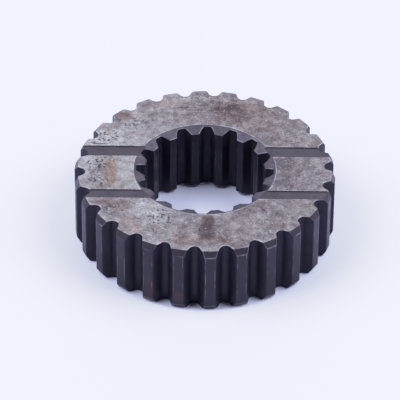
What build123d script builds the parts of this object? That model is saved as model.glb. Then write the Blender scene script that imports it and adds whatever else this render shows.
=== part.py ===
from build123d import *
from math import acos, atan, cos, pi, radians, sin, sqrt, tan
import os

# Splined hub: a flat steel ring, machined from one piece, with a 30 degree involute spline on
# its outside and another in its bore, and two shallow grooves across its top face.
# Millimetres and degrees. Origin at the centre of the bottom face, Z along the axis, X along
# the grooves.

# Ring
HEIGHT = 23.0
PRESSURE_ANGLE = radians(30)

# Outer spline
OUTER_MODULE = 3.0
OUTER_TEETH = 26
OUTER_TIP_R = OUTER_MODULE * (OUTER_TEETH + 1) / 2
OUTER_ROOT_R = 37.0
OUTER_SPACE_WIDTH = 4.36        # on the pitch circle
OUTER_SPACE_ANGLE = 2.73        # from +X to the middle of the first space
OUTER_CHAMFER_IN = 1.2
OUTER_CHAMFER_DOWN = 1.9

# Inner spline
INNER_MODULE = 2.5
INNER_TEETH = 16
INNER_TIP_R = INNER_MODULE * (INNER_TEETH - 1) / 2
INNER_ROOT_R = 21.4
INNER_SPACE_WIDTH = 3.93        # on the pitch circle
INNER_ROOT_FILLET = 0.7
INNER_SPACE_ANGLE = 20.47       # from +X to the middle of the first space

# Mouth chamfer at both ends of the bore: a shallow cone that also cuts the teeth
MOUTH_R = 22.1
MOUTH_ANGLE = radians(19)       # from the flat face

# Grooves across the top face, on both sides of the bore
GROOVE_DEPTH = 0.3
FAR_GROOVE_Y = (6.1, 11.05)
NEAR_GROOVE_Y = (-14.45, -10.35)

FLANK_POINTS = 6                # points of the formula on each flank
CLEARANCE = 1.0                 # how far a cutter runs past the face that it leaves by


def involute(angle):
    """Involute function of a pressure angle in radians."""
    return tan(angle) - angle


def base_radius(module, teeth):
    """Radius of the circle that the flanks unwind from."""
    return module * teeth / 2 * cos(PRESSURE_ANGLE)


def pitch_half_angle(width, module, teeth):
    """Half the angle that a space of this width takes up on the pitch circle."""
    return width / (module * teeth)


def polar(radius, angle):
    """Point at a radius and an angle in radians."""
    return (radius * cos(angle), radius * sin(angle))


def mirrored(points):
    """The same points on the other side of the X axis, in the opposite order."""
    return [(x, -y) for x, y in reversed(points)]


def spaced(start, end):
    """Evenly spaced values for the points of a flank."""
    step = (end - start) / (FLANK_POINTS - 1)
    return [start + i * step for i in range(FLANK_POINTS)]


def outer_space():
    """A space between two outer teeth, along +X: two flanks and one tangent root arc."""
    base = base_radius(OUTER_MODULE, OUTER_TEETH)
    at_base = pitch_half_angle(OUTER_SPACE_WIDTH, OUTER_MODULE, OUTER_TEETH) - involute(PRESSURE_ANGLE)

    # The arc's centre is on the X axis and on a tangent of the base circle. Its distance along
    # that tangent, over the base radius, is found by halving.
    low, high = 0.0, 2.0
    for _ in range(50):
        roll = (low + high) / 2
        root = base * (sqrt(1 + roll ** 2) - roll + atan(roll) - at_base)
        low, high = (roll, high) if root < OUTER_ROOT_R else (low, roll)
    start_r = base * sqrt(1 + (atan(roll) - at_base) ** 2)

    flank = [
        polar(r, at_base + involute(acos(base / r)))
        for r in spaced(start_r, OUTER_TIP_R + CLEARANCE)
    ]
    other = mirrored(flank)
    return make_face([
        ThreePointArc(other[-1], (OUTER_ROOT_R, 0), flank[0]),
        Spline(*flank),
        Line(flank[-1], other[0]),
        Spline(*other),
    ])


def inner_space():
    """A space between two inner teeth, along +X, open towards the axis."""
    base = base_radius(INNER_MODULE, INNER_TEETH)
    at_base = pitch_half_angle(INNER_SPACE_WIDTH, INNER_MODULE, INNER_TEETH) + involute(PRESSURE_ANGLE)
    flank = [
        polar(r, at_base - involute(acos(base / r)))
        for r in spaced(INNER_TIP_R - CLEARANCE, INNER_ROOT_R)
    ]
    other = mirrored(flank)
    outline = make_face([
        Spline(*flank),
        ThreePointArc(flank[-1], (INNER_ROOT_R, 0), other[0]),
        Spline(*other),
        Line(other[-1], flank[0]),
    ])
    corners = outline.vertices().sort_by(Axis.X)[-2:]
    return fillet(corners, INNER_ROOT_FILLET)


def around(shape, count, first):
    """Copies of a shape about the axis, the first one at an angle in degrees."""
    return [Rot(0, 0, first + i * 360 / count) * shape for i in range(count)]


def blank():
    """The turned ring: outer chamfers, and a shallow cone into each end."""
    cone_depth = MOUTH_R * tan(MOUTH_ANGLE)
    shoulder_r = OUTER_TIP_R - OUTER_CHAMFER_IN
    half = [
        (0, cone_depth),
        (MOUTH_R, 0),
        (shoulder_r, 0),
        (OUTER_TIP_R, OUTER_CHAMFER_DOWN),
    ]
    profile = half + [(r, HEIGHT - z) for r, z in reversed(half)]
    return revolve(Plane.XZ * make_face(Polyline(*profile, close=True)), Axis.Z)


def spline_outline():
    """The ring's section with both splines."""
    outline = Circle(OUTER_TIP_R + CLEARANCE / 2)
    outline -= around(outer_space(), OUTER_TEETH, OUTER_SPACE_ANGLE)
    outline -= Circle(INNER_TIP_R)
    outline -= around(inner_space(), INNER_TEETH, INNER_SPACE_ANGLE)
    return outline


def groove(low_y, high_y):
    """A shallow groove with a flat floor, along X over the whole ring."""
    length = 2 * (OUTER_TIP_R + CLEARANCE)
    middle = (low_y + high_y) / 2
    cutter = Box(length, high_y - low_y, GROOVE_DEPTH + CLEARANCE)
    return Pos(0, middle, HEIGHT + (CLEARANCE - GROOVE_DEPTH) / 2) * cutter


def splined_hub():
    """The whole hub, one solid."""
    hub = blank() & extrude(spline_outline(), HEIGHT)
    hub -= [groove(*FAR_GROOVE_Y), groove(*NEAR_GROOVE_Y)]
    return hub


os.makedirs("parts", exist_ok=True)
export_step(splined_hub(), "parts/splined_hub.step")
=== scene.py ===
from math import acos, atan, atan2, cos, pi, radians, sin, sqrt, tan

import bpy
import numpy as np
from mathutils import Matrix, Vector
from mathutils.geometry import delaunay_2d_cdt
from mathutils.kdtree import KDTree
from mathutils.noise import noise as smooth_noise

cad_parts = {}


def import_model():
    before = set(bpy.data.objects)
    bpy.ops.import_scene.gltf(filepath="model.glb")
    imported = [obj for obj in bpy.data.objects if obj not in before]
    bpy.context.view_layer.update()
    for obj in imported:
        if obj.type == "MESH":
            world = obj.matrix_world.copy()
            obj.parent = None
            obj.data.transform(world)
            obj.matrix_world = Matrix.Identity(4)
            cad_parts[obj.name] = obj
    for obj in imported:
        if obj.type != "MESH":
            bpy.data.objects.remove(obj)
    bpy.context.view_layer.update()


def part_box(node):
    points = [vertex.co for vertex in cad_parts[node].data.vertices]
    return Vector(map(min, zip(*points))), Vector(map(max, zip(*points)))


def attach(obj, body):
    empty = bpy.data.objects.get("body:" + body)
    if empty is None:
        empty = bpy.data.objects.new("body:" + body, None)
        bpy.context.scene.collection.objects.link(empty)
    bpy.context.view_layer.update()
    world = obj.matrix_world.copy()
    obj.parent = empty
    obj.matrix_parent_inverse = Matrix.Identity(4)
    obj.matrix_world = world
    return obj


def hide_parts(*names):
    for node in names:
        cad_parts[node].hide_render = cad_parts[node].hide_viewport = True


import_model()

# The hub's looks: the CAD hub is replaced by a mesh with the same splines, chamfers and grooves,
# and with rounded, nicked edges. Shapes are worked out in millimetres, in the CAD frame, and
# two-dimensional points are complex numbers.
MM = 0.001
lowest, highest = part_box("splined_hub")
HEIGHT = (highest.z - lowest.z) / MM

# Splines
PRESSURE_ANGLE = radians(30)
OUTER_MODULE = 3.0
OUTER_TEETH = 26
OUTER_TIP_R = OUTER_MODULE * (OUTER_TEETH + 1) / 2
OUTER_ROOT_R = 37.0
OUTER_SPACE_WIDTH = 4.36
OUTER_SPACE_ANGLE = radians(2.73)
INNER_MODULE = 2.5
INNER_TEETH = 16
INNER_TIP_R = INNER_MODULE * (INNER_TEETH - 1) / 2
INNER_ROOT_R = 21.4
INNER_SPACE_WIDTH = 3.93
INNER_ROOT_FILLET = 0.7
INNER_SPACE_ANGLE = radians(20.47)

# Chamfers, mouth cones and grooves
SHOULDER_R = OUTER_TIP_R - 1.2
CHAMFER_SLOPE = 1.9 / 1.2
MOUTH_R = 22.1
MOUTH_SLOPE = tan(radians(19))
GROOVE_DEPTH = 0.3
GROOVES = ((6.1, 11.05), (-14.45, -10.35))

# Worn edges
TIP_CUT = 0.28                  # how far the rounding of a tooth's corner reaches along the land
OUTER_CORNER_DOWN = 0.85 * TIP_CUT      # and how far down the flank
INNER_CORNER_DOWN = 0.9 * TIP_CUT
FILLET_CUT = INNER_ROOT_FILLET / 2
FILLET_DOWN = 0.8 * FILLET_CUT
EDGE_ROUND = 0.18               # rounding between the end faces and the splines
RIDGE_HALF = 0.1                # half the width of a rounded ridge
CHAMFER_BEND = 0.05             # how softly the chamfer and the cone leave the flat face
CONE_BEND = 0.01
GROOVE_WALL = 0.07              # how far a groove's wall leans
GROOVE_WANDER = 0.05            # how far its edges wander from a straight line
WANDER_RATE = 1.3               # bends per millimetre
FAR_EDGE_SEED = 5.5             # makes a groove's far edge wander differently
NICKS_PER_FACE = 70
NICK_RADII = (0.25, 0.8)
NICK_DEPTHS = (0.04, 0.2)
NICK_FADE = 1.0                 # how far in from the outline a nick reaches
DENT_STEEPNESS = 1.5            # above 1, a dent has a flat bottom
DENT_FLATNESS = 0.05            # dents are only where the face is this flat
# Each dent is x, y, half length, half width and depth
DENTS = (
    (-33.6, 12.0, 2.6, 0.9, 0.2), (18, -19.6, 0.9, 1.3, 0.08), (-37.2, -9, 1.2, 1.0, 0.15),
    (35.5, 11.6, 1.2, 0.8, 0.15), (-28.6, -22.8, 1.4, 0.9, 0.1), (-22.5, 30.5, 1.2, 0.9, 0.1),
)

# Spacing of the mesh
GRID = 0.56
GRID_JITTER = 0.1
FEATURE_STEP = 0.34
FEATURE_CLEAR = 0.8 * EDGE_ROUND        # how far points on ridges stay from the outlines
OUTLINE_CLEAR = 0.7             # how far the grid stays from the outlines,
RIDGE_CLEAR = 0.35              # from the rims of the chamfer and the cone,
GROOVE_CLEAR = 0.25             # and from the grooves' edges
RING_OFFSETS = (0.134 * EDGE_ROUND, 0.5 * EDGE_ROUND, EDGE_ROUND, 0.45)
WALL_LEVELS = (0.15, 0.5, 1.2, 2.5, 4.5, 7.0)
MIDDLE_DEPTH = 9.0              # how far from any edge the middle of a wall counts as
GROOVE_EDGE_BAND = 0.01         # how far outside a groove its floor's edge distance ends
LAND_MARGIN = 0.06              # walls this close to the tip radius are lands
SHARP_ANGLE = radians(38)
ROLL_LIMITS = (0.0, 2.0)        # the root arc's centre is found by halving between these
HALVINGS = 50
TINY = 1e-6

rng = np.random.default_rng(26)


# ---------------------------------------------------------------- outlines


def involute(angle):
    """Involute function of a pressure angle in radians."""
    return tan(angle) - angle


def polar(radius, angle):
    """Point at a radius and an angle in radians."""
    return radius * np.exp(1j * angle)


def bend(before, corner, after, count=3):
    """Points of a curve that rounds a corner, without its two ends."""
    t = np.arange(1, count + 1) / (count + 1)
    return (1 - t) ** 2 * before + 2 * t * (1 - t) * corner + t ** 2 * after


def root_roll(base, at_base):
    """How far the root arc's centre is along a tangent of the base circle, over its radius."""
    low_roll, high_roll = ROLL_LIMITS
    for _ in range(HALVINGS):
        roll = (low_roll + high_roll) / 2
        root = base * (sqrt(1 + roll ** 2) - roll + atan(roll) - at_base)
        if root < OUTER_ROOT_R:
            low_roll = roll
        else:
            high_roll = roll
    return roll


def outer_half():
    """From the middle of an outer space, on +X, to the middle of the next tooth."""
    base = OUTER_MODULE * OUTER_TEETH / 2 * cos(PRESSURE_ANGLE)
    at_base = OUTER_SPACE_WIDTH / (OUTER_MODULE * OUTER_TEETH) - involute(PRESSURE_ANGLE)

    def flank(r):
        return polar(r, at_base + involute(acos(base / r)))

    roll = root_roll(base, at_base)
    centre = base * sqrt(1 + roll ** 2)
    start_r = base * sqrt(1 + (atan(roll) - at_base) ** 2)
    start = flank(start_r) - centre
    arc_end = atan2(start.imag, start.real)
    root = centre + polar(centre - OUTER_ROOT_R, np.linspace(pi, arc_end, 9))

    corner = flank(OUTER_TIP_R)
    corner_angle = atan2(corner.imag, corner.real) + TIP_CUT / OUTER_TIP_R
    land = polar(OUTER_TIP_R, np.linspace(corner_angle, pi / OUTER_TEETH, 5))
    radii = [
        *np.linspace(start_r, SHOULDER_R - RIDGE_HALF, 5),
        SHOULDER_R,
        *np.linspace(SHOULDER_R + RIDGE_HALF, OUTER_TIP_R - OUTER_CORNER_DOWN, 4),
    ]
    flank_points = np.array([flank(r) for r in radii])
    return np.concatenate([
        root[:-1],
        flank_points,
        bend(flank_points[-1], corner, land[0]),
        land,
    ])


def inner_half():
    """From the middle of a space in the bore, on +X, to the middle of the next tooth."""
    base = INNER_MODULE * INNER_TEETH / 2 * cos(PRESSURE_ANGLE)
    at_base = INNER_SPACE_WIDTH / (INNER_MODULE * INNER_TEETH) + involute(PRESSURE_ANGLE)

    def flank(r):
        return polar(r, at_base - involute(acos(base / r)))

    root_corner = flank(INNER_ROOT_R)
    root_end = atan2(root_corner.imag, root_corner.real) - FILLET_CUT / INNER_ROOT_R
    root = polar(INNER_ROOT_R, np.linspace(0, root_end, 3))
    tip_corner = flank(INNER_TIP_R)
    land_start = atan2(tip_corner.imag, tip_corner.real) + TIP_CUT / INNER_TIP_R
    land = polar(INNER_TIP_R, np.linspace(land_start, pi / INNER_TEETH, 4))
    radii = np.linspace(INNER_ROOT_R - FILLET_DOWN, INNER_TIP_R + INNER_CORNER_DOWN, 8)
    flank_points = np.array([flank(r) for r in radii])
    return np.concatenate([
        root,
        bend(root[-1], root_corner, flank_points[0]),
        flank_points,
        bend(flank_points[-1], tip_corner, land[0]),
        land,
    ])


def whole(half, teeth, first):
    """A whole outline, counterclockwise, from half of one pitch."""
    pitch = np.concatenate([np.conj(half[:0:-1]), half[:-1]])
    turns = first + np.arange(teeth) * 2 * pi / teeth
    return np.concatenate([pitch * np.exp(1j * turn) for turn in turns])


def with_crossings(loop, levels):
    """The loop with a point added wherever it crosses one of these levels of y."""
    points = []
    for here, there in zip(loop, np.roll(loop, -1)):
        points.append(here)
        crossings = sorted(
            (y - here.imag) / (there.imag - here.imag)
            for y in levels
            if (here.imag - y) * (there.imag - y) < 0
        )
        points += [here + t * (there - here) for t in crossings]
    return np.array(points)


def offset(loop, distance):
    """The loop moved to its left by a distance, or to its right by a negative one."""
    along = np.roll(loop, -1) - np.roll(loop, 1)
    return loop + distance * 1j * along / abs(along)


groove_levels = [
    y + side * shift
    for pair in GROOVES
    for y, side in zip(pair, (1, -1))
    for shift in (-RIDGE_HALF, 0, GROOVE_WALL, GROOVE_WALL + RIDGE_HALF)
]
outer_loop = with_crossings(whole(outer_half(), OUTER_TEETH, OUTER_SPACE_ANGLE), groove_levels)
inner_loop = with_crossings(whole(inner_half(), INNER_TEETH, INNER_SPACE_ANGLE), groove_levels)
outline = np.concatenate([outer_loop, inner_loop])

# For each outline point, the next one round its own loop
follow = np.arange(1, len(outline) + 1)
follow[len(outer_loop) - 1] = 0
follow[-1] = len(outer_loop)


def loop_radius(loop, points):
    """The outline's radius at the angle of each point."""
    return np.interp(np.angle(points), np.angle(loop), abs(loop), period=2 * pi)


def inside(points):
    """Which points lie between the two outlines."""
    r = abs(points)
    return (r < loop_radius(outer_loop, points)) & (r > loop_radius(inner_loop, points))


def outline_distance(points):
    """Distance from each point to the nearest stretch of either outline."""
    before = np.concatenate([np.roll(outer_loop, 1), np.roll(inner_loop, 1)])
    after = np.concatenate([np.roll(outer_loop, -1), np.roll(inner_loop, -1)])
    tree = KDTree(len(outline))
    for i, p in enumerate(outline):
        tree.insert((p.real, p.imag, 0), i)
    tree.balance()
    nearest = np.array([tree.find((p.real, p.imag, 0))[1] for p in points])
    best = abs(points - outline[nearest])
    for other in (before[nearest], after[nearest]):
        side = other - outline[nearest]
        t = ((points - outline[nearest]) * np.conj(side)).real / abs(side) ** 2
        foot = outline[nearest] + np.clip(t, 0, 1) * side
        best = np.minimum(best, abs(points - foot))
    return best


# ---------------------------------------------------------------- end faces


def wander(x, seed):
    """Small uneven shifts along a groove's edge."""
    return np.array([GROOVE_WANDER * smooth_noise(Vector((v * WANDER_RATE, seed, 0.5))) for v in x])


def sheet_points():
    """All points of an end face: the outlines first, then the rest."""
    rings = [offset(outer_loop, d) for d in RING_OFFSETS]
    rings += [offset(inner_loop, -d) for d in RING_OFFSETS]

    circles = []
    for radius in (SHOULDER_R, MOUTH_R):
        count = int(2 * pi * radius / FEATURE_STEP)
        turns = np.arange(count) * 2 * pi / count
        circles += [polar(radius + d, turns) for d in (-RIDGE_HALF, 0, RIDGE_HALF)]
    steps = np.arange(-OUTER_TIP_R, OUTER_TIP_R, FEATURE_STEP)
    lines = [steps + 1j * y for y in groove_levels]
    features = np.concatenate(circles + lines)
    features = features[inside(features)]
    features = features[outline_distance(features) > FEATURE_CLEAR]

    columns = np.arange(-OUTER_TIP_R, OUTER_TIP_R, GRID)
    rows = np.arange(-OUTER_TIP_R, OUTER_TIP_R, GRID * sqrt(0.75))
    grid = columns[None, :] + 1j * rows[:, None]
    grid[1::2] += GRID / 2
    grid = grid.ravel()
    grid = grid + rng.uniform(-GRID_JITTER, GRID_JITTER, grid.size)
    grid = grid + 1j * rng.uniform(-GRID_JITTER, GRID_JITTER, grid.size)
    grid = grid[inside(grid)]
    grid = grid[outline_distance(grid) > OUTLINE_CLEAR]
    r = abs(grid)
    clear = (abs(r - SHOULDER_R) > RIDGE_CLEAR) & (abs(r - MOUTH_R) > RIDGE_CLEAR)
    for y in groove_levels:
        clear &= abs(grid.imag - y) > GROOVE_CLEAR
    return np.concatenate([outline] + rings + [features, grid[clear]])


def triangulated(points):
    """Triangles between the outlines, and the points in the order that the triangles use."""
    count = len(outline)
    first_inner = len(outer_loop)
    edges = [(i, i + 1) for i in range(count - 1) if i != first_inner - 1]
    edges += [(first_inner - 1, 0), (count - 1, first_inner)]
    flat = [Vector((p.real, p.imag)) for p in points]
    out, _, faces, sources, _, _ = delaunay_2d_cdt(flat, edges, [], 0, TINY, True)
    place = {source: i for i, group in enumerate(sources) for source in group}
    rim = np.array([place[i] for i in range(count)])
    is_rim = np.zeros(len(out), bool)
    is_rim[rim] = True
    faces = np.array(faces)
    faces = faces[~is_rim[faces].all(axis=1)]
    xy = np.array([complex(*p) for p in out])
    a, b, c = (xy[faces[:, i]] for i in range(3))
    turned = ((b - a) * np.conj(c - a)).imag > 0
    faces[turned] = faces[turned][:, ::-1]
    return xy, faces, rim


def ramp(value, soft):
    """Zero below zero and the value above it, with a small bend between."""
    return (value + np.sqrt(value ** 2 + soft ** 2)) / 2


def groove_drop(xy):
    """How far the grooves cut below the flat face."""
    drop = np.zeros(len(xy))
    for i, (near, far) in enumerate(GROOVES):
        near_edge = near + wander(xy.real, i)
        far_edge = far + wander(xy.real, i + FAR_EDGE_SEED)
        depth = np.minimum(xy.imag - near_edge, far_edge - xy.imag) / GROOVE_WALL
        drop = np.maximum(drop, GROOVE_DEPTH * np.clip(depth, 0, 1))
    return drop


def turned_drop(xy):
    """How far the outer chamfer and the mouth cone cut below the flat face."""
    r = abs(xy)
    chamfer = ramp((r - SHOULDER_R) * CHAMFER_SLOPE, CHAMFER_BEND)
    cone = ramp((MOUTH_R - r) * MOUTH_SLOPE, CONE_BEND)
    return chamfer + cone


def edge_drop(distance):
    """The rounding beside the outlines."""
    reach = np.clip(EDGE_ROUND - distance, 0, EDGE_ROUND)
    return EDGE_ROUND - np.sqrt(EDGE_ROUND ** 2 - reach ** 2)


def nick_drop(xy, distance):
    """Small dents along the outlines."""
    drop = np.zeros(len(xy))
    places = rng.integers(0, len(outline), NICKS_PER_FACE)
    radii = rng.uniform(*NICK_RADII, NICKS_PER_FACE)
    depths = rng.uniform(*NICK_DEPTHS, NICKS_PER_FACE)
    for place, radius, depth in zip(places, radii, depths):
        near = np.clip(1 - abs(xy - outline[place]) / radius, 0, 1)
        drop = np.maximum(drop, depth * near)
    return drop * np.clip(1 - distance / NICK_FADE, 0, 1)


def dent_drop(xy):
    """Larger dents in the top face."""
    drop = np.zeros(len(xy))
    for x, y, half_x, half_y, depth in DENTS:
        reach = np.hypot((xy.real - x) / half_x, (xy.imag - y) / half_y)
        drop = np.maximum(drop, depth * np.clip(DENT_STEEPNESS * (1 - reach), 0, 1))
    return drop


def corner_distance(points):
    """Distance from outline points to the nearest corner of a tooth."""
    corners = []
    for loop, tip_r in ((outer_loop, OUTER_TIP_R), (inner_loop, INNER_TIP_R)):
        on_land = abs(abs(loop) - tip_r) < TINY
        ends = on_land & ~(np.roll(on_land, 1) & np.roll(on_land, -1))
        corners.append(loop[ends])
    corners = np.concatenate(corners)
    return np.array([abs(corners - p).min() for p in points])


def sheet_heights(xy, distance):
    """Heights of the top and the bottom face."""
    turned = turned_drop(xy)
    grooved = np.maximum(turned, groove_drop(xy))
    rounding = edge_drop(distance)
    dents = dent_drop(xy) * (grooved < DENT_FLATNESS)
    top = HEIGHT - grooved - dents - rounding - nick_drop(xy, distance)
    bottom = turned + rounding + nick_drop(xy, distance)
    return top, bottom


def sheet_edges(xy, distance):
    """Distance from each point of the top and the bottom face to the nearest worn edge, which
    places worn rims, painted edge highlights and painted shade in the grooves.
    """
    r = abs(xy)
    bottom = np.minimum(distance, np.minimum(abs(r - SHOULDER_R), abs(r - MOUTH_R)))
    top = bottom.copy()
    for low_y, high_y in GROOVES:
        outside = np.maximum(low_y - xy.imag, xy.imag - high_y)
        top = np.where(outside > -GROOVE_EDGE_BAND, np.minimum(top, abs(outside)), top)
    return top, bottom


def wall_rows(top, bottom):
    """Heights of the rows between the two faces' outlines, and how far each is from a face."""
    rows = [(top - depth, depth) for depth in WALL_LEVELS]
    rows.append(((top + bottom) / 2, MIDDLE_DEPTH))
    rows += [(bottom + depth, depth) for depth in reversed(WALL_LEVELS)]
    return rows


def wall_quads(rings):
    """The walls' quads, between rings of point numbers that follow the outline, top ring first."""
    outward = np.arange(len(outline)) < len(outer_loop)
    walls = []
    for upper, lower in zip(rings, rings[1:]):
        quads = np.column_stack([upper, lower, lower[follow], upper[follow]])
        quads[~outward] = quads[~outward][:, ::-1]
        walls.append(quads)
    return np.concatenate(walls)


def hub_mesh():
    """The hub's mesh: two end faces and the walls between their outlines.

    Also returns the middles of the faces' triangles and of the walls' quads, in plan.
    """
    xy, faces, rim = triangulated(sheet_points())
    distance = outline_distance(xy)
    distance[rim] = 0
    top, bottom = sheet_heights(xy, distance)
    points = [np.column_stack([xy.real, xy.imag, z]) for z in (top, bottom)]
    edge_mm = list(sheet_edges(xy, distance))

    corner = corner_distance(xy[rim])
    rings = [rim]
    start = 2 * len(xy)
    for z, depth in wall_rows(top[rim], bottom[rim]):
        points.append(np.column_stack([xy[rim].real, xy[rim].imag, z]))
        edge_mm.append(np.minimum(corner, depth))
        rings.append(np.arange(start, start + len(rim)))
        start += len(rim)
    rings.append(rim + len(xy))

    vertices = np.concatenate(points) * MM
    polygons = faces.tolist()
    polygons += (faces[:, ::-1] + len(xy)).tolist()
    polygons += wall_quads(rings).tolist()
    mesh = bpy.data.meshes.new("hub_steel")
    mesh.from_pydata(vertices.tolist(), [], polygons)
    attribute = mesh.attributes.new("edge_mm", "FLOAT", "POINT")
    attribute.data.foreach_set("value", np.concatenate(edge_mm).astype(np.float32))
    middles = xy[faces].mean(axis=1)
    wall_middles = np.tile((xy[rim] + xy[rim][follow]) / 2, len(rings) - 1)
    return mesh, middles, wall_middles


# Material numbers, in the order in which hub() adds the materials
BACK, MIDDLE, FRONT, UNDERSIDE, GROOVE, MOUTH, LAND, FLANK, CHAMFER = range(9)

# The top face's parts behind, between and in front of the grooves, as ranges of y. Each has its
# own material with its own marks, because Cycles has too little room for all marks in one.
FAR_GROOVE_Y, NEAR_GROOVE_Y = (sum(pair) / 2 for pair in GROOVES)
BACK_PART = (FAR_GROOVE_Y, OUTER_TIP_R)
MIDDLE_PART = (NEAR_GROOVE_Y, FAR_GROOVE_Y)
FRONT_PART = (-OUTER_TIP_R, NEAR_GROOVE_Y)


def regions(middles, wall_middles):
    """Which material each polygon has."""
    r = abs(middles)
    y = middles.imag
    turned = np.select([r > SHOULDER_R, r < MOUTH_R], [CHAMFER, MOUTH], UNDERSIDE)
    grooved = (groove_drop(middles) > GROOVE_DEPTH / 2) & (turned_drop(middles) < GROOVE_DEPTH)
    worn = np.select([y > FAR_GROOVE_Y, y > NEAR_GROOVE_Y], [BACK, MIDDLE], FRONT)
    top = np.where(grooved, GROOVE, np.where(turned == UNDERSIDE, worn, turned))
    walls = np.where(abs(wall_middles) > OUTER_TIP_R - LAND_MARGIN, LAND, FLANK)
    return np.concatenate([top, turned, walls])


# ---------------------------------------------------------------- materials


ANY_HEIGHT = (0, 1000)          # middle and half height of a mark that is the same at every height
MARK_FADE = (1.35, 0.65)        # where a mark starts to show and where it is full, over its size
MARK_REACH = 2.15               # the same where the wobble makes a mark as large as it can


class Shader:
    """A material's nodes, with short calls that add to them. Lengths are millimetres."""

    def __init__(self, name):
        self.material = bpy.data.materials.new(name)
        self.material.use_nodes = True
        self.tree = self.material.node_tree
        self.bsdf = self.tree.nodes["Principled BSDF"]
        place = self.node("ShaderNodeTexCoord").outputs["Object"]
        self.mm = self.vector("SCALE", place, Scale=1 / MM)

    def node(self, kind, **settings):
        """A new node with these settings."""
        made = self.tree.nodes.new(kind)
        for key, value in settings.items():
            setattr(made, key, value)
        return made

    def put(self, socket, value):
        """Sets an input to a constant, or links it."""
        if isinstance(value, bpy.types.NodeSocket):
            self.tree.links.new(value, socket)
        else:
            socket.default_value = value

    def math(self, operation, *values):
        """A sum or other operation on numbers."""
        made = self.node("ShaderNodeMath", operation=operation)
        for socket, value in zip(made.inputs, values):
            self.put(socket, value)
        return made.outputs[0]

    def vector(self, operation, *values, **named):
        """An operation on vectors."""
        made = self.node("ShaderNodeVectorMath", operation=operation)
        for socket, value in zip(made.inputs, values):
            self.put(socket, value)
        for key, value in named.items():
            self.put(made.inputs[key], value)
        return made.outputs["Value" if operation == "LENGTH" else "Vector"]

    def noise(self, size, detail=3.0, roughness=0.55, stretch=(1, 1, 1), shift=(0, 0, 0)):
        """Soft noise with lumps of about this size, from 0 to 1."""
        scaled = [s / size for s in stretch]
        place = self.vector("MULTIPLY_ADD", self.mm, scaled, shift)
        made = self.node("ShaderNodeTexNoise")
        self.put(made.inputs["Vector"], place)
        self.put(made.inputs["Scale"], 1.0)
        self.put(made.inputs["Detail"], detail)
        self.put(made.inputs["Roughness"], roughness)
        return made.outputs["Fac"]

    def ramp(self, value, start, end, low=0.0, high=1.0):
        """A smooth step of a value, from low at start to high at end."""
        made = self.node("ShaderNodeMapRange", interpolation_type="SMOOTHSTEP")
        for key, number in zip(("Value", "From Min", "From Max", "To Min", "To Max"),
                               (value, start, end, low, high)):
            self.put(made.inputs[key], number)
        return made.outputs["Result"]

    def mix(self, factor, first, second, blend="MIX"):
        """The first colour, turned into the second as far as the factor says."""
        made = self.node("ShaderNodeMix", data_type="RGBA", blend_type=blend)
        self.put(made.inputs[0], factor)
        self.put(made.inputs[6], first)
        self.put(made.inputs[7], second)
        return made.outputs[2]

    def along(self, axis):
        """The X, Y or Z coordinate."""
        made = self.node("ShaderNodeSeparateXYZ")
        self.put(made.inputs[0], self.mm)
        return made.outputs[axis]

    def marks(self, spots, wobble, square=False):
        """The sum of soft, uneven marks.

        Each is strength, x, y, half length, half width and turn in degrees, and may end with the
        height of its middle and its half height.
        """
        total = 0.0
        for strength, x, y, half_x, half_y, turn, *height in spots:
            z, half_z = height or ANY_HEIGHT
            made = self.node("ShaderNodeMapping", vector_type="TEXTURE")
            self.put(made.inputs["Vector"], self.mm)
            self.put(made.inputs["Location"], (x, y, z))
            self.put(made.inputs["Rotation"], (0, 0, radians(turn)))
            self.put(made.inputs["Scale"], (half_x, half_y, half_z))
            if square:
                parts = self.node("ShaderNodeSeparateXYZ")
                self.put(parts.inputs[0], self.vector("ABSOLUTE", made.outputs[0]))
                reach = self.math("MAXIMUM", parts.outputs["X"], parts.outputs["Y"])
            else:
                reach = self.vector("LENGTH", made.outputs[0])
            uneven = self.math("ADD", reach, wobble)
            total = self.math("ADD", total, self.ramp(uneven, *MARK_FADE, 0.0, strength))
        return total

    def veins(self, half_width, *noise, **settings):
        """Thin lines where a noise crosses its middle value."""
        away = self.math("SUBTRACT", self.noise(*noise, **settings), 0.5)
        return self.ramp(self.math("ABSOLUTE", away), half_width, 0.0)

    def sway(self, tone, value, amount):
        """The tone, moved up and down by a value that runs from 0 to 1."""
        return self.math("MULTIPLY_ADD", self.math("SUBTRACT", value, 0.5), amount, tone)

    def blend(self, first, share, second, other_share):
        """Two values added up by their shares."""
        return self.math("MULTIPLY_ADD", first, share, self.math("MULTIPLY", second, other_share))

    def colors(self, factor, stops):
        """A colour that runs through several stops."""
        made = self.node("ShaderNodeValToRGB")
        self.put(made.inputs["Fac"], factor)
        elements = made.color_ramp.elements
        while len(elements) < len(stops):
            elements.new(0.5)
        for element, (position, color) in zip(elements, stops):
            element.position = position
            element.color = color
        return made.outputs["Color"]

    def tinted(self, color, factor, tint):
        """The colour multiplied by a tint, as strongly as the factor says."""
        return self.mix(factor, color, tint, blend="MULTIPLY")

    def edge(self):
        """Distance to the nearest worn edge, which places worn rims, painted edge highlights and
        painted shade in the grooves.
        """
        return self.node("ShaderNodeAttribute", attribute_name="edge_mm").outputs["Fac"]

    def bump(self, height, distance):
        """Small relief, this deep in millimetres."""
        made = self.node("ShaderNodeBump")
        self.put(made.inputs["Height"], height)
        self.put(made.inputs["Distance"], distance * MM)
        return made.outputs["Normal"]

    def finish(self, **inputs):
        """Sets the shader's inputs, with underscores for spaces, and returns the material."""
        for key, value in inputs.items():
            self.put(self.bsdf.inputs[key.replace("_", " ")], value)
        return self.material


def srgb(red, green, blue):
    """A colour from its 0 to 255 screen values."""

    def linear(v):
        v /= 255
        return v / 12.92 if v <= 0.04045 else ((v + 0.055) / 1.055) ** 2.4
    return (linear(red), linear(green), linear(blue), 1.0)
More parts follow.
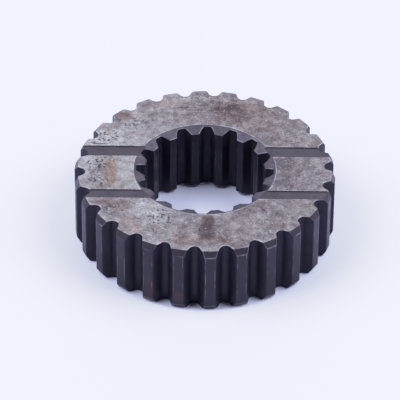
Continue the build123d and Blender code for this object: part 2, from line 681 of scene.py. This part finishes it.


# Marks on the top face, placed one by one. Each is strength, x, y, half length, half width and turn
# in degrees. The first three lists make the steel lighter or, with a minus sign, darker.
CLOUD_MARKS = (
    (0.12, -24, 0, 4, 6, 0), (-0.10, -32, -3, 3.5, 4.5, 0), (0.07, -36.5, 1, 2, 5, 0),
    (0.15, -30, 14, 6, 5, 35), (0.07, -24, 19, 5, 4, 30), (-0.18, -26.5, 26, 3.2, 2.2, 25),
    (-0.09, -15, 25, 4.5, 4, 20), (-0.08, -16.5, 20, 2.5, 4, 30), (-0.13, -1, 26.5, 5, 4, 0),
    (-0.17, 8, 27, 5.5, 5.5, 0), (-0.10, 3, 32, 8, 2.5, -5), (-0.05, 14, 29, 6, 3, -25),
    (-0.07, 21, 27, 6, 4, -35), (-0.08, 20, 13, 4, 3, 0), (0.05, 30, 16, 8, 5, 20),
    (-0.11, -28, -17, 6, 3, -10), (0.08, -17, -19, 6, 4, -20), (0.04, -15, -24, 8, 3, -30),
    (0.07, -22, -27, 3, 2, -40), (-0.32, 1, -28, 2.3, 5, 0), (-0.10, -15, -29.5, 4, 1.5, -20),
    (-0.12, 3, -35.5, 7, 2.2, 0), (-0.11, 14, -20, 7, 3, 30), (-0.13, 20, -20, 3.5, 3.5, 0),
    (0.05, 34, -3, 4, 6, 0), (-0.05, 5, -29, 9, 6, 0), (0.06, -28, 4, 5, 2, 0),
    (0.14, -35.5, 5, 3, 2.5, 0), (0.16, -21, 13.5, 3, 2.5, 30), (-0.13, 10, 36, 5, 1.6, -12),
    (-0.09, -19, 31, 4, 2.5, 25), (0.08, -19, -28, 3, 2.5, -40), (-0.12, -28, -23, 2, 2, 0),
    (0.03, 16, -31, 4, 2.5, 25), (-0.12, 19, 32, 3.5, 2, -35),
)
BAND_MARKS = ((0.10, -11, 28, 0.9, 5, 0), (-0.15, 24, -1, 2.7, 7.5, 0))
STREAK_MARKS = (
    (0.16, 0, 28.6, 7, 0.3, 2), (0.10, -3, 27.4, 5, 0.22, -2), (0.10, 8, 33.6, 4, 0.3, -16),
    (0.10, 27, 17, 4, 0.25, 25), (0.10, 5, -31, 3.5, 0.3, -60), (-0.16, -6.5, 30.6, 3.2, 0.35, 3),
    (-0.30, 18, -19.6, 1.8, 0.3, -52), (-0.45, -33.6, 12.2, 2.4, 0.35, -6),
    (-0.2, 20, -24.5, 1.2, 0.3, -20), (-0.12, -4, 29.5, 4, 0.25, -2),
)
BROWN_MARKS = (
    (1.2, -26, 26, 3.8, 2.2, 30), (0.6, -15.5, 32.3, 4, 1.5, 15), (0.6, 14, 31.5, 6, 2.2, -22),
    (0.8, -28, -17, 6, 3, -15), (1.2, -23, -26.5, 4, 2.4, -38), (1.2, -6.5, -33.8, 4.5, 2.6, 0),
    (0.5, 4, -35, 6, 2, 0), (0.35, 8, 27, 6, 5, 0), (0.5, 29, -17.5, 5, 2, 0),
    (0.5, 18, 25, 12, 8, -35), (0.4, -6, 34, 12, 3, 0), (0.4, 3, -28, 10, 6, 0),
    (0.3, -9, 27, 7, 6, 20), (0.3, 30, 10, 8, 6, 0),
)
RUST_MARKS = ((0.85, -29.2, -1.8, 1.6, 6.4, 0),)
PITTED_MARKS = (
    (1.3, -33.5, 2, 3.5, 3.5, 0), (1, -32.5, -6.5, 4, 2.6, 0), (1, -30, 16, 5, 3.5, 20),
    (0.8, -22, 22, 4, 3, 0), (1, -13.5, -24.5, 4, 5, 20), (0.8, -33, 12.8, 3, 1.2, 0),
    (0.7, -27, -20, 4, 3, -20), (0.5, -7, 31, 4, 2, 0), (0.7, 2, -30, 4, 4, 0),
    (0.6, -3, 36, 8, 2, 0),
)
BAND_WOBBLE = 0.3               # how uneven the square marks are, against the round ones
RUST_WOBBLE = 0.35

# Noise on the end faces: lump size in millimetres, detail and roughness
CLOUDS = (11.0, 3.0, 0.5)
MOTTLE = (2.6, 5.0, 0.62)
GRAIN = (0.55, 2.0, 0.5)
WOBBLE = (3.5, 5.0, 0.65)
SWIRLS = (5.0, 2.0, 0.5)
STROKES = (2.2, 1.0, 0.55)
STAINS = (6.0, 5.0, 0.65)
PIT_AREAS = (7.0, 1.0, 0.55)
SMUDGES = (1.9, 3.0, 0.6)
PITS = (0.95, 2.0, 0.5)
# The noise for painted highlights: pale glints in the faces' colour
PAINTED_GLINTS = (0.8, 1.0, 0.5)

# How much each pattern changes the tone of the bare steel
CLOUD_SHARE = 0.45
TONE_BASE = 0.25
MOTTLE_SHARE = 0.72
GRAIN_SHARE = 0.6
SWIRL_SHARE = 0.12
STROKE_SHARE = -0.1
# Painted shade: the top face is made darker towards its right
PAINTED_SHADE_SLOPE = -0.0021            # per millimetre along X

# Colours of the end faces
FACE_TONES = (
    (0.10, srgb(84, 75, 76)), (0.32, srgb(115, 107, 107)), (0.52, srgb(142, 139, 136)),
    (0.72, srgb(164, 164, 161)), (0.95, srgb(197, 199, 198)),
)
STAIN_TINT = srgb(250, 235, 229)
RUST_TINT = srgb(250, 224, 200)
SMUDGE_COLOR = srgb(104, 97, 99)
PIT_COLOR = srgb(66, 60, 63)
# Painted highlight: the colour of the glints
PAINTED_GLINT_COLOR = srgb(208, 206, 208)
# Pale edges of the end faces: worn steel, partly a painted edge highlight
FACE_RIM_WEAR_AND_HIGHLIGHT_COLOR = srgb(186, 183, 186)
STEEL_METALLIC = 0.8


def face_tone(s, mottle, grain, shift):
    """How light the bare steel is: clouds, mottling, grain, pale swirls and dark strokes."""
    clouds = s.noise(*CLOUDS, shift=shift)
    swirls = s.veins(0.022, *SWIRLS, shift=(3, 9, 2))
    strokes = s.veins(0.02, *STROKES, stretch=(0.3, 1, 1), shift=(9, 4, 1))
    tone = s.math("MULTIPLY_ADD", clouds, CLOUD_SHARE, TONE_BASE)
    tone = s.sway(tone, mottle, MOTTLE_SHARE)
    tone = s.sway(tone, grain, GRAIN_SHARE)
    tone = s.math("MULTIPLY_ADD", swirls, SWIRL_SHARE, tone)
    return s.math("MULTIPLY_ADD", strokes, STROKE_SHARE, tone)


def near(spots, part):
    """The marks that can reach a part of the top face."""
    low_y, high_y = part
    reached = []
    for spot in spots:
        _, _, y, half_x, half_y, *_ = spot
        reach = MARK_REACH * max(half_x, half_y)
        if low_y - reach < y < high_y + reach:
            reached.append(spot)
    return reached


def marked_tone(s, tone, wobble, part):
    """The tone with the top face's light and dark marks, and painted shade that makes it darker
    towards its right.
    """
    tone = s.math("MULTIPLY_ADD", s.along("X"), PAINTED_SHADE_SLOPE, tone)
    tone = s.math("ADD", tone, s.marks(near(CLOUD_MARKS, part), wobble))
    band_wobble = s.math("MULTIPLY", wobble, BAND_WOBBLE)
    tone = s.math("ADD", tone, s.marks(near(BAND_MARKS, part), band_wobble, square=True))
    return s.math("ADD", tone, s.marks(near(STREAK_MARKS, part), wobble))


def pitted_color(s, color, pitted):
    """The colour with smudges and dark pits where the face is pitted, and the pits."""
    smudges = s.ramp(s.noise(*SMUDGES, shift=(4, 7, 2)), 0.52, 0.62, 0.0, 0.4)
    color = s.mix(s.math("MULTIPLY", smudges, pitted), color, SMUDGE_COLOR)
    pits = s.math("MULTIPLY", s.ramp(s.noise(*PITS, shift=(5, 5, 5)), 0.565, 0.61), pitted)
    return s.mix(s.math("MULTIPLY", pits, 0.9), color, PIT_COLOR), pits


def worn_face(name, part=None):
    """An end face: bare ground steel, clouded, pitted and stained, with painted glints and pale
    edges that are partly wear, partly a painted highlight. A top face's part has marks.
    """
    s = Shader(name)
    shift = (0, 0, 0) if part else (31, 17, 5)
    mottle = s.noise(*MOTTLE, shift=shift)
    grain = s.noise(*GRAIN, shift=shift)
    tone = face_tone(s, mottle, grain, shift)
    stained = s.ramp(s.noise(*STAINS, shift=(2, 5, 7)), 0.47, 0.64, 0.0, 0.5)
    pitted = s.ramp(s.noise(*PIT_AREAS, shift=(8, 1, 4)), 0.5, 0.7, 0.0, 0.5)
    if part:
        wobble = s.math("MULTIPLY_ADD", s.noise(*WOBBLE, shift=(6, 2, 9)), 1.6, -0.8)
        tone = marked_tone(s, tone, wobble, part)
        stained = s.math("MAXIMUM", stained, s.marks(near(BROWN_MARKS, part), wobble))
        pitted = s.math("MAXIMUM", pitted, s.marks(near(PITTED_MARKS, part), wobble))
    color = s.tinted(s.colors(tone, FACE_TONES), stained, STAIN_TINT)
    if part:
        rust_wobble = s.math("MULTIPLY", wobble, RUST_WOBBLE)
        rust = s.marks(near(RUST_MARKS, part), rust_wobble, square=True)
        color = s.tinted(color, rust, RUST_TINT)
    color, pits = pitted_color(s, color, pitted)
    # Painted highlights: pale glints mixed into the colour
    painted_glints = s.ramp(s.noise(*PAINTED_GLINTS, shift=(1, 8, 3)), 0.72, 0.76, 0.0, 0.5)
    color = s.mix(painted_glints, color, PAINTED_GLINT_COLOR)
    # Pale rim along the edges: worn steel, partly a painted edge highlight
    rim = s.math("MULTIPLY", s.ramp(s.edge(), 0.24, 0.06), s.ramp(mottle, 0.4, 0.6, 0.25, 0.9))
    color = s.mix(rim, color, FACE_RIM_WEAR_AND_HIGHLIGHT_COLOR)
    height = s.math("MULTIPLY_ADD", pits, -1.0, s.blend(grain, 0.35, mottle, 0.5))
    return s.finish(
        Base_Color=color,
        Metallic=STEEL_METALLIC,
        Roughness=s.ramp(mottle, 0.25, 0.75, 0.62, 0.44),
        Normal=s.bump(height, 0.04),
    )


# Brown marks low on two front teeth
FOOT_MARKS = ((0.9, -7.9, -40, 1.3, 2.5, 0, 4.8, 2.2), (0.45, -16.6, -37, 1.6, 2.5, 0, 6, 5))
# Pale edge lines, partly worn oxide and partly a painted highlight, only high on the walls
WEAR_AND_HIGHLIGHT_HEIGHTS = (2.5, 9.0)       # edges are worn bright above the second height, not below the first

TONE_SPREAD = (0.35, 0.65)      # the part of a pattern's range that its two colours are spread over
OXIDE_GLOSS = (1.0, 0.93, 1.0, 1)

# Colours of the machined and the blackened surfaces, from dark to pale
GROOVE_COLORS = (srgb(71, 65, 70), srgb(81, 75, 80))
GROOVE_SPECK_COLOR = srgb(140, 134, 146)
# Painted shade: the darker colour along the grooves' walls
GROOVE_WALL_SHADE_COLOR = srgb(60, 56, 70)
MOUTH_COLORS = (srgb(84, 79, 86), srgb(98, 93, 100))
# Pale edges of the cones: worn steel, partly a painted edge highlight
MOUTH_RIM_WEAR_AND_HIGHLIGHT_COLOR = srgb(160, 155, 164)
LAND_COLORS = (srgb(15, 11, 24), srgb(22, 18, 33))
# Painted shade: the flanks and the bore get their own copy of the oxide, with these colours and a
# lower index, so that the slots and the bore come out dark
FLANK_COLORS = (srgb(31, 27, 39), srgb(40, 36, 49))
CHAMFER_COLORS = (srgb(48, 44, 50), srgb(58, 53, 60))
OXIDE_SPECK_COLOR = srgb(130, 126, 138)
# Pale edges of the oxide: worn through, partly a painted edge highlight
OXIDE_RIM_WEAR_AND_HIGHLIGHT_COLOR = srgb(128, 124, 136)
FOOT_MARK_COLOR = srgb(60, 32, 31)


def groove_steel():
    """The groove floors: darker, with fine cutter lines along them, and painted shade along their
    walls.
    """
    s = Shader("groove_steel")
    lines = s.noise(1.0, 3.0, stretch=(0.06, 4, 1))
    patches = s.noise(5.0, 4.0)
    tone = s.blend(lines, 0.5, patches, 0.5)
    color = s.mix(s.ramp(tone, *TONE_SPREAD), *GROOVE_COLORS)
    specks = s.ramp(s.noise(0.5, 2.0), 0.66, 0.72)
    color = s.mix(s.math("MULTIPLY", specks, 0.3), color, GROOVE_SPECK_COLOR)
    # Painted shade: the floor darkened along the grooves' walls
    rim = s.math("MULTIPLY", s.ramp(s.edge(), 0.12, 0.02), 0.6)
    color = s.mix(rim, color, GROOVE_WALL_SHADE_COLOR)
    return s.finish(
        Base_Color=color,
        Metallic=STEEL_METALLIC,
        Roughness=s.ramp(patches, 0.3, 0.7, 0.5, 0.4),
        Normal=s.bump(lines, 0.012),
    )


def mouth_steel():
    """The shallow cones into the bore: turned, and darker than the faces, with pale edges that are
    partly wear, partly a painted highlight.
    """
    s = Shader("mouth_steel")
    patches = s.noise(2.2, 4.0, 0.6)
    turning = s.noise(0.5, 2.0)
    tone = s.blend(turning, 0.3, patches, 0.7)
    color = s.mix(s.ramp(tone, *TONE_SPREAD), *MOUTH_COLORS)
    # Pale rims along the cone's edges, in patches: worn steel, partly a painted edge highlight
    worn = s.ramp(patches, 0.35, 0.6, 0.35, 1.0)
    rim = s.math("MULTIPLY", s.ramp(s.edge(), 0.14, 0.03), worn)
    color = s.mix(rim, color, MOUTH_RIM_WEAR_AND_HIGHLIGHT_COLOR)
    return s.finish(
        Base_Color=color,
        Metallic=STEEL_METALLIC,
        Roughness=s.ramp(patches, 0.3, 0.7, 0.5, 0.4),
        Normal=s.bump(tone, 0.015),
    )


def oxide(name, colors, wear_and_highlight, index):
    """Black oxide on the splines and chamfers, rubbed through along some edges, where the pale edge
    lines are partly a painted highlight.
    """
    s = Shader(name)
    patches = s.noise(4.0, 5.0, 0.6)
    drawn = s.noise(1.0, 3.0, stretch=(3, 3, 0.12))
    tone = s.blend(drawn, 0.45, patches, 0.55)
    color = s.mix(s.ramp(tone, *TONE_SPREAD), *colors)
    brown = s.marks(FOOT_MARKS, s.math("MULTIPLY_ADD", patches, 0.8, -0.4))
    color = s.mix(s.math("MULTIPLY", brown, 0.9), color, FOOT_MARK_COLOR)
    specks = s.ramp(s.noise(0.45, 2.0, shift=(4, 4, 4)), 0.7, 0.76, 0.0, 0.3 * wear_and_highlight)
    color = s.mix(specks, color, OXIDE_SPECK_COLOR)
    gaps = s.ramp(s.noise(6.0, 4.0, 0.6, shift=(7, 3, 1)), 0.46, 0.62)
    # Pale rims along the upper edges: oxide worn through, partly a painted edge highlight
    rim = s.math("MULTIPLY", s.ramp(s.edge(), 0.16, 0.02, 0.0, wear_and_highlight), gaps)
    rim = s.math("MULTIPLY", rim, s.ramp(s.along("Z"), *WEAR_AND_HIGHLIGHT_HEIGHTS))
    color = s.mix(rim, color, OXIDE_RIM_WEAR_AND_HIGHLIGHT_COLOR)
    return s.finish(
        Base_Color=color,
        Roughness=s.ramp(patches, 0.3, 0.7, 0.44, 0.34),
        IOR=index,
        Specular_Tint=OXIDE_GLOSS,
        Normal=s.bump(tone, 0.02),
    )


def hub():
    """The whole hub as one piece."""
    mesh, middles, wall_middles = hub_mesh()
    for material in (
        worn_face("worn_back", BACK_PART),
        worn_face("worn_middle", MIDDLE_PART),
        worn_face("worn_front", FRONT_PART),
        worn_face("worn_underside"),
        groove_steel(),
        mouth_steel(),
        oxide("oxide_land", LAND_COLORS, wear_and_highlight=0.6, index=1.42),
        # Painted shade: a less reflective copy of the oxide for the slots and the bore
        oxide("shaded_oxide_flank", FLANK_COLORS, wear_and_highlight=0.3, index=1.28),
        oxide("oxide_chamfer", CHAMFER_COLORS, wear_and_highlight=0.8, index=1.45),
    ):
        mesh.materials.append(material)
    slots = regions(middles, wall_middles)
    mesh.polygons.foreach_set("material_index", slots.astype(np.int32))
    mesh.polygons.foreach_set("use_smooth", np.ones(len(slots), bool))
    mesh.set_sharp_from_angle(angle=SHARP_ANGLE)
    mesh.validate()
    piece = bpy.data.objects.new("hub_steel", mesh)
    bpy.context.scene.collection.objects.link(piece)
    return piece


# ---------------------------------------------------------------- studio

FLOOR_HALF = 3.0
FLOOR_GAP = 0.00002             # keeps the floor clear of the hub's bottom face
FLOOR_COLOR = (0.80, 0.83, 0.98, 1)
FLOOR_ROUGHNESS = 0.9
LIGHT_COLOR = (0.80, 0.82, 1.0)
WORLD_STRENGTH = 0.05
# Each light is its name, place and size in metres, and power in watts
LIGHTS = (
    ("left", (-0.82, -0.05, 0.97), 0.9, 20.5),
    ("right", (0.82, -0.05, 0.97), 0.9, 20.5),
    ("back", (0, 1.1, 0.85), 1.2, 8.6),
)
# The photograph is a little overexposed: the floor's brightest parts are pressed together
EXPOSURE_TOP = 2.0
EXPOSURE_CURVE = (
    (0.25, 0.25), (0.5, 0.5), (0.75, 0.72), (1.1, 0.84), (1.35, 0.895), (1.65, 0.955),
)
CAMERA_ELEVATION = radians(39.652)
CAMERA_DISTANCE = 1.063
CAMERA_AIM_RIGHT = -0.00139     # where the camera looks, from the middle of the top face
CAMERA_AIM_UP = -0.00971
CAMERA_ROLL = radians(0.542)
CAMERA_LENS = 308.8
CAMERA_CLIP = (0.01, 20)


def floor():
    """A plain pale floor under the hub."""
    z = lowest.z - FLOOR_GAP
    corners = [(-1, -1), (1, -1), (1, 1), (-1, 1)]
    vertices = [(x * FLOOR_HALF, y * FLOOR_HALF, z) for x, y in corners]
    mesh = bpy.data.meshes.new("studio_floor")
    mesh.from_pydata(vertices, [], [(0, 1, 2, 3)])
    s = Shader("studio_floor")
    mesh.materials.append(s.finish(Base_Color=FLOOR_COLOR, Roughness=FLOOR_ROUGHNESS))
    plane = bpy.data.objects.new("studio_floor", mesh)
    bpy.context.scene.collection.objects.link(plane)


def light(name, place, size, power):
    """A soft square light that points at the hub."""
    data = bpy.data.lights.new(name, "AREA")
    data.size = size
    data.energy = power
    data.color = LIGHT_COLOR
    lamp = bpy.data.objects.new(name, data)
    lamp.location = place
    lamp.rotation_euler = (-Vector(place)).to_track_quat("-Z", "Y").to_euler()
    bpy.context.scene.collection.objects.link(lamp)


def world():
    """A faint even light from everywhere."""
    made = bpy.data.worlds.new("studio")
    made.use_nodes = True
    background = made.node_tree.nodes["Background"]
    background.inputs["Color"].default_value = (*LIGHT_COLOR, 1)
    background.inputs["Strength"].default_value = WORLD_STRENGTH
    bpy.context.scene.world = made


def exposure():
    """The photograph's exposure, as a curve on the view."""
    settings = bpy.context.scene.view_settings
    settings.view_transform = "Standard"
    settings.use_curve_mapping = True
    curves = settings.curve_mapping
    curves.white_level = (EXPOSURE_TOP,) * 3
    curve = curves.curves[3]
    for brightness, shown in EXPOSURE_CURVE:
        curve.points.new(brightness / EXPOSURE_TOP, shown)
    curve.points[-1].location = (1, 1)
    curves.update()


def camera():
    """The camera at the photograph's angle."""
    right = Vector((1, 0, 0))
    back = Vector((0, -cos(CAMERA_ELEVATION), sin(CAMERA_ELEVATION)))
    up = back.cross(right)
    aim = Vector((0, 0, highest.z)) + right * CAMERA_AIM_RIGHT + up * CAMERA_AIM_UP
    data = bpy.data.cameras.new("camera")
    data.lens = CAMERA_LENS
    data.clip_start, data.clip_end = CAMERA_CLIP
    eye = bpy.data.objects.new("camera", data)
    place = Matrix.Translation(aim + back * CAMERA_DISTANCE)
    turned = Matrix((right, up, back)).transposed().to_4x4()
    eye.matrix_world = place @ turned @ Matrix.Rotation(CAMERA_ROLL, 4, "Z")
    bpy.context.scene.collection.objects.link(eye)
    bpy.context.scene.camera = eye


def studio():
    """The floor, the lights, the exposure and the camera."""
    floor()
    for settings in LIGHTS:
        light(*settings)
    world()
    exposure()
    camera()


piece = hub()
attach(piece, "root")
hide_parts("splined_hub")
studio()
